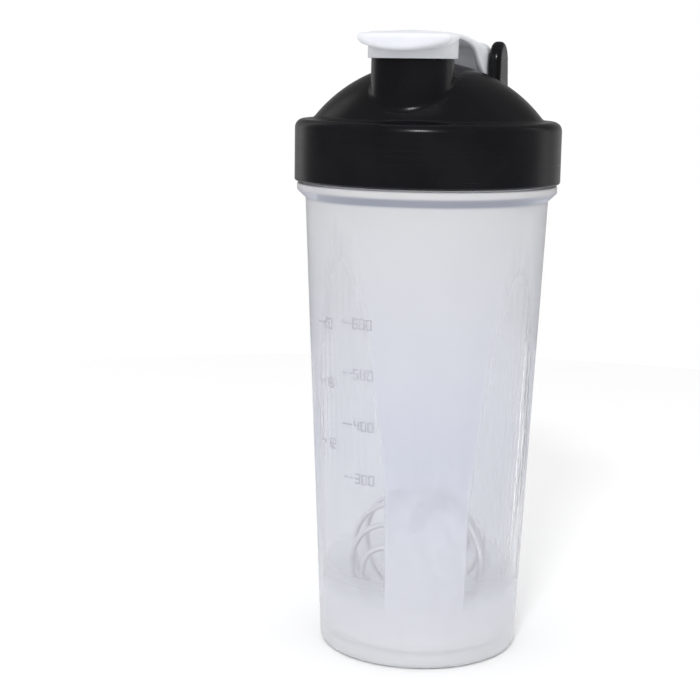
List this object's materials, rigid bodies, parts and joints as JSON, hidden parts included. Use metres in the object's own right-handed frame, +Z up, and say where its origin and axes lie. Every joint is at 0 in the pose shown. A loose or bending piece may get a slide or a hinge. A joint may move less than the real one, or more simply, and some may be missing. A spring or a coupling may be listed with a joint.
{
  "type": "protein shaker bottle",
  "caption": "Tapered shaker cup with a threaded neck, a domed screw lid with a pouring spout and hinged flip cap, and a loose wire whisk ball inside.",
  "frame": {"origin": "centre of the cup's base, on the surface it stands on", "axes": "+Z up along the cup's axis; the spout is toward -Y and the flip cap's hinge toward +Y, its hinge axis along X"},
  "size_m": [0.0994, 0.0994, 0.234],
  "materials": {
    "frosted_plastic": "frosted translucent",
    "black_plastic": "satin",
    "clear_silicone": "satin",
    "white_plastic": "satin",
    "steel_wire": "polished wire"
  },
  "bodies": {
    "cup_body": {"cup": "frosted_plastic"},
    "seal_ring_body": {"lid_seal_ring": "clear_silicone"},
    "lid_body": {"screw_lid": "black_plastic"},
    "flip_cap_body": {"flip_cap": "white_plastic"},
    "whisk_ball_body": {"whisk_ball": "steel_wire"}
  },
  "joints": [
    {"name": "lid_lift", "type": "slide", "parent": "cup_body", "child": "seal_ring_body", "axis": [0, 0, 1], "range_m": [0, 0.01]},
    {"name": "lid_turn", "type": "hinge", "parent": "seal_ring_body", "child": "lid_body", "pos_m": [0, 0, 0.19], "axis": [0, 0, 1], "range_deg": [0, 600]},
    {"name": "flip_cap_hinge", "type": "hinge", "parent": "lid_body", "child": "flip_cap_body", "pos_m": [0, 0.0315, 0.2232], "axis": [-1, 0, 0], "range_deg": [0, 190]},
    {"name": "whisk_ball_slide", "type": "slide", "parent": "cup_body", "child": "whisk_ball_body", "axis": [0, 0, 1], "range_m": [0, 0.13]}
  ],
  "couplings": [
    {"joint": "lid_lift", "follows": "lid_turn", "m_per_rad": 0.00095493}
  ]
}
